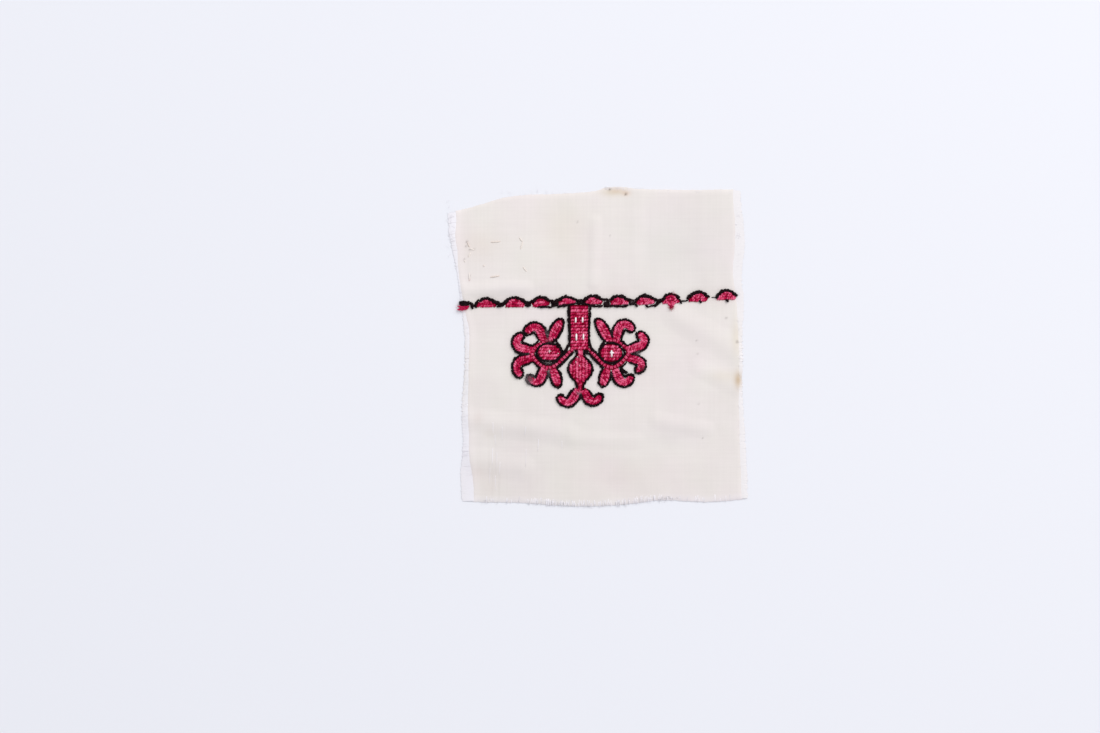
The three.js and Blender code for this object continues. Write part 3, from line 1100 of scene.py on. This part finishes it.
def faded(stitches, middle, spread, seed):
    """How pale each stitch is, from 0 to 1: partly its own chance, and partly a slow change from
    place to place."""
    random = np.random.default_rng(seed)
    places = stitches.mean(axis=1)
    slow = np.sin(places[:, 0] * 1.3 + 1) * np.sin(places[:, 1] * 1.1 + 2)
    return np.clip(middle + 0.6 * spread * slow + random.normal(0, spread, len(stitches)), 0, 1)


def thread_material(name, deep, middle, pale, roughness, specular, sheen):
    """Twisted cotton thread. Its colour goes from deep over middle to pale by the stitch's own
    paleness and by the fine strands that follow the twist. It is painted deeper in the groove
    between the plies and paler on their crests: painted shade and painted highlight."""
    material, tree, shader = new_material(name)
    fibres = add_node(tree, "ShaderNodeUVMap", {}, uv_map="fibres").outputs["UV"]
    strands = strand_noise(tree, fibres, (22.0, 1.4, 1.0), 3.0)
    from_strands = maths(tree, "MULTIPLY_ADD", strands, 0.5, from_point(tree, "pale"))
    from_groove = maths(tree, "MULTIPLY_ADD", from_point(tree, "groove"), 0.3, from_strands)
    balanced = maths(tree, "SUBTRACT", from_groove, 0.4)
    colour = add_node(tree, "ShaderNodeValToRGB", {"Fac": balanced})
    colour.color_ramp.elements[0].color = (*deep, 1)
    colour.color_ramp.elements[1].color = (*pale, 1)
    colour.color_ramp.elements.new(0.45).color = (*middle, 1)
    gloss = {"Roughness": roughness, "Specular IOR Level": specular}
    gloss.update({"Sheen Weight": sheen, "Sheen Roughness": 0.5})
    dress_shader(tree, shader, colour.outputs["Color"], strands, 0.7, 0.00004, gloss)
    return material


def dress(piece, material, slot):
    """Gives a piece its material, and adds it to the threadwork list. slot is not used."""
    piece.data.materials.append(material)
    threadwork.append(piece)


deep_crimson = (0.20, 0.001, 0.013)
crimson = (0.50, 0.003, 0.062)
# The pale end stands partly for faded thread and partly for painted sheen: pink highlights painted
# into the colour.
faded_and_sheen_crimson = (0.83, 0.155, 0.295)
crimson_cotton = thread_material(
    "crimson_cotton_thread", deep_crimson, crimson, faded_and_sheen_crimson, 0.55, 0.05, 0.0
)
bed_height = 0.08
# The beds sit at the deep end of the crimson: painted shade between the rows, over a real bed of the
# same thread.
bed_paleness_in_shade = -0.05
row_spread = 0.13
row_chance = np.random.default_rng(37)
for name, rows, pads in (
    ("flowers", flower_rows, flower_pads),
    ("stem_and_bud", stem_rows, stem_pads),
    ("border", border_rows, border_pads),
):
    stitches = np.concatenate(rows)
    row_change = row_chance.normal(0, row_spread, len(rows))
    row_paleness = np.repeat(row_change, [len(row) for row in rows])
    paleness = np.clip(faded(stitches, 0.46, 0.24, 31) + row_paleness, 0, 1)
    name_of_rows = "crimson_rows_of_" + name
    # 0.5 is the painted highlight on the top of each crimson stitch.
    filling = stitch_mesh(name_of_rows, stitches, crimson_thickness, bed_height, paleness, 0.5)
    dress(filling, crimson_cotton, "crimson_thread")
    bed = pad_mesh("crimson_bed_of_" + name, pads, bed_paleness_in_shade)
    dress(bed, crimson_cotton, "crimson_thread")
squares = np.concatenate(ring_stitches)
paleness = faded(squares, 0.6, 0.12, 32)
ring_squares = stitch_mesh("crimson_ring_squares", squares, ring_thickness, bed_height, paleness)
dress(ring_squares, crimson_cotton, "crimson_thread")

# The black outlines. Twisted black cotton in stem stitch, like a fine rope, runs round every
# shape and along the border, over the edges of the crimson rows.
motif_slant = 0.36
border_slant = 0.48
rope_pitch = 0.74
rope_length = 1.2
line_gap = 0.38
ring_line_gap = 0.34
curl_clearance = 0.12
points_to_base = 8
ring_line_share = (0.04, 0.76)
branch_line_share = (0.05, 0.3)
flower_ropes = {"left": [], "right": []}
oval_ropes = []
stem_ropes = []
stem_side_ropes = []
border_ropes = []
link_ropes = []


def rope(ropes, path, slant=motif_slant, jitter=0.05):
    """Adds one line of black stitches along a path."""
    ropes.append(row_of_stitches(evenly(path), rope_pitch, rope_length, slant, jitter))


def petal_outline(line, left, width, radius, curl):
    """The line round a petal, from its base along its left side, round its end and back. It keeps
    a fixed gap from the crimson. Inside the curl it can't go past the curl's middle. It starts a
    little way out from the base, where the next petal's line meets it."""
    sides = []
    for sign in (1, -1):
        reach = np.minimum(width, radius - line_gap - curl_clearance) if sign == curl else width
        sides.append((line + sign * reach[:, None] * left)[points_to_base:])
    edge = evenly(np.concatenate([sides[0], sides[1][::-1]]), 0.04)
    outward = leftwards(edge)
    if np.sum(left[0] * outward[0]) < 0:
        outward = -outward
    return edge + line_gap * outward


def part_of(path, start, end):
    """The part of a path between two shares of it."""
    return path[int(len(path) * start) : int(len(path) * end)]


for side, petals in flower_petals.items():
    for petal in petals:
        rope(flower_ropes[side], petal_outline(*petal))
for petal in foot_petals:
    rope(stem_ropes, petal_outline(*petal))

# Lines round each oval and inside its ring, under each branch, and in the gaps between the
# petals, where the ring's outer line shows.
gap_lines = (
    ((2.4, 3.25), (3.4, 2.55), (4.6, 1.5)),
    ((4.4, -2.2), (3.4, -3.05), (2.3, -4.2)),
    ((-1.1, 3.75), (-1.9, 2.9), (-2.9, 1.6), (-3.5, 0.1)),
    ((-1.95, 3.5), (-1.4, 3.0), (-0.7, 2.8)),
)
for side, middle in flower_middles.items():
    flip = np.array([facing[side], 1])
    wide, high = oval_sizes[side]
    turn = np.linspace(0, 2 * math.pi, 200)
    oval = np.column_stack([np.cos(turn) * (wide + line_gap), np.sin(turn) * (high + line_gap)])
    rope(oval_ropes, oval * flip + middle)
    path = ring_paths[side]
    aside = leftwards(path) * (ring_half + ring_line_gap) * facing[side]
    rope(oval_ropes, part_of(path + aside, *ring_line_share))
    branch_start = [[stem_middle + facing[side] * 1.1, -0.85]]
    branch_line = part_of(path - aside, *branch_line_share)
    rope(stem_side_ropes, np.concatenate([branch_start, branch_line]))
    for line in gap_lines:
        rope(flower_ropes[side], np.array(line) * flip + middle)

# The stem's two ropes, which turn out along the branches, and the bud's two sides.
rope_out = 2.76
bud_line_gap = 0.28
turn_out = ((0.05, 11.4), (0, 8.5), (0, 1.0), (0.2, 0.25), (0.8, -0.5), (1.7, -1.35))
for way in (-1, 1):
    x = stem_middle + way * rope_out
    rope(stem_side_ropes, smooth_path(np.array(turn_out) * (way, 1) + (x, 0)))
    bud_side = np.column_stack([way * (bud_half + bud_line_gap), np.zeros(bud_points)])
    rope(stem_ropes, (bud_line + bud_side)[::-1])

# The border's arches, and the short lines that join and close them. The first eight arches
# are one line, and the last two stand apart.
border_links = (
    ((-35.3, 11.3), (-35.25, 12.2), (-34.7, 12.3)), ((-35.1, 12.1), (-33.6, 12.05), (-32.2, 12.0)),
    ((-35.0, 11.75), (-33.6, 11.65), (-32.2, 11.7)), ((-34.9, 11.4), (-33.4, 11.3), (-32.3, 11.4)),
    ((-32.05, 12.0), (-31.9, 10.2)), ((-31.5, 12.0), (-31.55, 10.6)), ((-31.1, 11.3), (-30.7, 10.6)),
    ((-25.6, 10.9), (-23.5, 10.9)), ((-18.2, 11.85), (-16.4, 11.9)), ((-18.1, 11.45), (-16.4, 11.45)),
    ((-18.0, 11.05), (-16.5, 11.05)), ((-15.0, 10.85), (-13, 10.75), (-10.8, 10.7)),
    ((-11.4, 11.85), (-9.5, 11.8)), ((-11.2, 11.5), (-9.3, 11.5)), ((-11.1, 11.15), (-9.4, 11.15)),
    ((-9.75, 10.85), (-8.2, 11.05), (-6.9, 11.35), (-4.3, 11.6), (-1.2, 11.5)),
    ((-4.9, 11.95), (-2.7, 11.95)), ((-4.6, 12.2), (-2.9, 12.2)), ((-1.7, 11.15), (2.2, 10.95)),
    ((2.2, 12.0), (3.9, 12.0)), ((2.3, 11.65), (4.0, 11.6)), ((2.4, 11.3), (3.8, 11.25)),
    ((2.2, 10.95), (5.6, 11.0), (7.4, 10.9), (8.9, 11.25)), ((9.0, 12.0), (10.6, 11.95)),
    ((9.0, 11.6), (10.6, 11.55)), ((10.65, 11.7), (10.95, 10.8)), ((13.5, 11.2), (13.8, 10.45)),
    ((13.9, 10.95), (15.5, 11.15), (17.0, 11.7)), ((15.7, 11.9), (17.4, 11.9)),
    ((22.1, 12.3), (22.4, 11.6)), ((22.6, 12.4), (23.1, 12.15)), ((27.2, 12.45), (27.5, 11.6)),
    ((34.3, 12.8), (34.55, 12.1)),
)
joined = [arches[0]]
for arch, after in zip(arches[:7], arches[1:8]):
    joined += [np.linspace(arch[-1], after[0], 20)[1:-1], after]
border_jitter = 0.09
link_jitter = 0.06
soften = np.ones(15) / 15
for line in (np.concatenate(joined), arches[8], arches[9]):
    line = evenly(line)
    inner = np.column_stack([np.convolve(line[:, axis], soften, "valid") for axis in (0, 1)])
    rope(border_ropes, np.concatenate([line[:1], inner, line[-1:]]), border_slant, border_jitter)
for link in border_links:
    rope(link_ropes, link, motif_slant, link_jitter)

# The low black beds where two scallops meet: from where to where, and the half width.
meeting_places = (
    (-17.9, 11.45, -16.5, 11.4, 0.5),
    (-11.3, 11.45, -9.5, 11.45, 0.55),
    (-4.7, 11.9, -2.7, 11.9, 0.4),
    (2.4, 11.6, 3.9, 11.6, 0.55),
    (8.9, 11.75, 10.7, 11.7, 0.45),
)
black_pads = []
for x1, y1, x2, y2, half in meeting_places:
    black_pads.append((np.linspace((x1, y1), (x2, y2), 20), np.full(20, half)))

# Where the black thread is worn to grey fluff: place, reach, and how grey.
worn_black = (
    (-17.0, -8.0, 1.4, 0.8), (-12.3, 3.8, 1.0, 0.5), (-12.1, -6.6, 1.0, 0.5),
    (4.6, 4.0, 1.0, 0.35), (4.7, -6.6, 0.9, 0.35), (11.2, -1.2, 1.1, 0.5),
    (-17.6, -1.2, 1.1, 0.4), (-12.0, -4.0, 1.8, 0.35), (-4.2, -11.6, 1.1, 0.4),
    (12.4, -5.2, 1.2, 0.4), (-6.5, -4.0, 1.3, 0.35), (3.2, 12.1, 0.7, 0.4),
    (9.9, 12.2, 0.8, 0.4),
)


def worn(stitches, places, paleness):
    """Adds to the stitches' paleness near worn places, by a bell curve of the distance."""
    middles = stitches.mean(axis=1)
    for x, y, reach, grey in places:
        away = ((middles[:, 0] - x) ** 2 + (middles[:, 1] - y) ** 2) / reach**2
        paleness = paleness + grey * np.exp(-away)
    return np.clip(paleness, 0, 1)


black = (0.006, 0.002, 0.003)
worn_brown = (0.02, 0.010, 0.012)
fluff_grey = (0.24, 0.19, 0.20)
black_cotton = thread_material(
    "black_cotton_thread", black, worn_brown, fluff_grey, 0.6, 0.05, 0.0
)
rope_bed = 0.14
# How much paler the top of each black stitch is painted: painted highlight.
rope_crest_light = 0.15
rope_unevenness = 0.32
for name, ropes, thickness in (
    ("left_flower", flower_ropes["left"], 0.49),
    ("right_flower", flower_ropes["right"], 0.46),
    ("ovals", oval_ropes, 0.47),
    ("stem_and_bud", stem_ropes, 0.47),
    ("stem_sides", stem_side_ropes, 0.56),
    ("border", border_ropes, 0.66),
    ("border_foot", link_ropes, 0.52),
):
    stitches = np.concatenate(ropes)
    paleness = worn(stitches, worn_black, faded(stitches, 0.05, 0.05, 33))
    name_of_rope = "black_outline_of_" + name
    spread = (rope_crest_light, rope_unevenness)
    outline = stitch_mesh(name_of_rope, stitches, thickness, rope_bed, paleness, *spread)
    dress(outline, black_cotton, "black_thread")
dress(pad_mesh("black_bed_of_border", black_pads, 0.0), black_cotton, "black_thread")

# The fluff of the worn places: fine grey and crimson fibres that have come loose and curl.
# Each place has a middle, a reach, a count of fibres and their paleness.
threads = {
    "black": (black_cotton, "black_thread"),
    "crimson": (crimson_cotton, "crimson_thread"),
}
fluff_places = {
    "black": (
        (-17.0, -7.9, 1.0, 200, 0.8), (-12.0, 2.0, 0.9, 50, 0.7), (-12.1, -6.0, 0.7, 60, 0.7),
        (11.2, -1.2, 0.7, 50, 0.7), (-4.0, -11.6, 0.6, 60, 0.9), (12.6, -5.2, 0.6, 50, 0.6),
        (-12.6, 4.4, 0.5, 40, 0.8),
    ),
    "crimson": (
        (19.9, 10.7, 0.5, 140, 0.3), (-34.4, 10.5, 0.8, 50, 0.6), (20.3, 14.2, 0.5, 30, 0.2),
    ),
}
fibre_radius = 0.018
fibre_points = 7
fibre_sides = 5
for kind, places in fluff_places.items():
    starts = [stitching.normal((x, y), 0.5 * reach, (count, 2)) for x, y, reach, count, pale in places]
    starts = np.concatenate(starts)
    paleness = np.concatenate([np.full(count, pale) for x, y, reach, count, pale in places])
    count = len(starts)
    at = np.linspace(0, 1, fibre_points)
    heading = stitching.uniform(0, 6.3, (count, 1)) + stitching.normal(0, 1.6, (count, 1)) * at
    stride = stitching.uniform(0.3, 0.75, (count, 1, 1)) / (fibre_points - 1)
    xy = starts[:, None] + np.cumsum(np.dstack([np.cos(heading), np.sin(heading)]) * stride, axis=1)
    lift = stitching.uniform(0.15, 0.75, (count, 1)) + stitching.normal(0, 0.1, (count, 1)) * at
    lines = on_cloth(xy, np.maximum(lift, 0.05))
    radii = np.full((count, fibre_points), fibre_radius) * (1 - 0.5 * at**2)
    fluff = tube_mesh(kind + "_fluff", lines, radii, fibre_sides)
    point_value(fluff, "pale", np.repeat(paleness, fibre_points * fibre_sides))
    dress(fluff, *threads[kind])

# Loose ends of crimson thread at the left end of the border, one thin black thread between the
# last two scallops, and a few black threads that lie across a branch or a petal: where each
# begins and ends, its bend to the left, and its thickness.
loose_threads = {
    "black": (
        (30.4, 13.25, 31.7, 13.2, 0.05, 0.2),
        (22.9, 12.35, 24.3, 12.4, -0.05, 0.36),
        (-5.1, -0.74, -4.4, -0.7, 0.0, 0.62),
        (-4.75, -1.3, -4.35, -1.15, 0.0, 0.5),
        (-2.85, -0.7, -1.5, -0.68, -0.1, 0.62),
        (-2.7, -1.1, -1.5, -1.25, 0.0, 0.5),
        (6.6, -4.7, 8.2, -6.7, -0.25, 0.6),
        (6.9, -4.6, 8.5, -6.4, -0.25, 0.5),
    ),
    "crimson": (
        (-32.6, 11.0, -35.2, 10.9, 0.25, 0.42),
        (-32.7, 10.7, -35.6, 10.3, -0.3, 0.40),
        (-32.9, 10.5, -34.9, 10.15, 0.2, 0.40),
        (-33.4, 10.9, -35.7, 10.75, 0.35, 0.36),
        (-34.2, 10.5, -35.7, 9.9, 0.2, 0.36),
        (-33.2, 10.4, -34.6, 9.95, -0.15, 0.34),
    ),
}
for kind, rows in loose_threads.items():
    rows = np.array(rows)
    at = np.linspace(0, 1, 12)
    thickness = rows[:, 5:6]
    run = rows[:, 2:4] - rows[:, 0:2]
    bow = rows[:, 4:5] * np.sin(at * math.pi * 1.3)
    xy = rows[:, None, 0:2] + run[:, None] * at[:, None] + bow[..., None] * left_of(run)[:, None]
    lines = on_cloth(xy, thickness * 0.5 + 0.1 * np.sin(at * math.pi))
    radii = thickness / 2 * (1 - 0.45 * at**4)
    name = "loose_" + kind + "_threads"
    ends = tube_mesh(name, lines, radii, stitch_sides, stitch_twist, stitch_lobe)
    paleness = np.tile(np.repeat(0.3 + 0.25 * at, stitch_sides), len(rows))
    point_value(ends, "pale", paleness * (kind == "crimson"))
    dress(ends, *threads[kind])

# The white stitches. Single stitches of thicker white cotton lie over the crimson: two pairs
# of upright bars on the stem, a small cross on the right oval and a star on the left one.
white_stitches = (
    (-4.9, 8.2, -4.95, 6.5), (-3.1, 8.3, -3.15, 6.6), (-4.75, 3.95, -4.75, 1.95),
    (-2.9, 3.9, -2.95, 2.1), (4.4, -0.25, 4.45, -2.4), (3.95, -1.1, 5.05, -1.15),
)
small_white_stitches = (
    (-11.75, -0.1, -11.7, -1.4), (-12.3, -0.7, -11.15, -0.75), (-9.6, -1.2, -9.3, -1.45),
    (-4.5, -2.0, -4.35, -2.45), (-4.95, -3.35, -4.75, -3.75), (-4.0, -4.35, -3.75, -4.7),
)
stained_pink = (0.78, 0.30, 0.38)
rose_white = (0.86, 0.60, 0.64)
white = (0.93, 0.88, 0.88)
white_cotton = thread_material(
    "white_cotton_thread", stained_pink, rose_white, white, 0.5, 0.2, 0.1
)
for name, rows, thickness, whiteness in (
    ("white_bars", white_stitches, 0.43, 0.85),
    ("white_specks", small_white_stitches, 0.2, 0.35),
):
    stitches = np.array(rows).reshape(-1, 2, 2)
    paleness = faded(stitches, whiteness, 0.06, 34)
    dress(stitch_mesh(name, stitches, thickness, 0.5, paleness, 0.5), white_cotton, "white_thread")

# The cream tacking stitches at the upper left. Fine cream thread of the cloth's own colour,
# in short running stitches pulled a little into the weave.
tacking_thickness = 0.26
tacking = np.array(
    [
        (-33.1, 27.8, -32.5, 26.2), (-32.5, 25.9, -31.2, 25.6), (-32.2, 25.0, -32.9, 23.6),
        (-33.8, 23.0, -33.7, 22.4), (-32.5, 19.8, -32.6, 17.6), (-27.2, 27.6, -24.3, 27.8),
        (-27.3, 18.5, -24.6, 18.9), (-19.6, 28.9, -18.7, 27.7), (-18.7, 27.7, -19.3, 25.6),
        (-18.7, 21.3, -17.6, 19.9), (-29.0, 21.6, -28.6, 21.4),
    ]
).reshape(-1, 2, 2)
deep_cream = (0.58, 0.43, 0.37)
cream_middle = (0.76, 0.66, 0.59)
pale_cream = (0.90, 0.85, 0.80)
cream_cotton = thread_material(
    "cream_tacking_thread", deep_cream, cream_middle, pale_cream, 0.6, 0.2, 0.1
)
paleness = faded(tacking, 0.55, 0.15, 35)
tacking_piece = stitch_mesh("tacking_stitches", tacking, tacking_thickness, 0.0, paleness)
dress(tacking_piece, cream_cotton, "cream_thread")
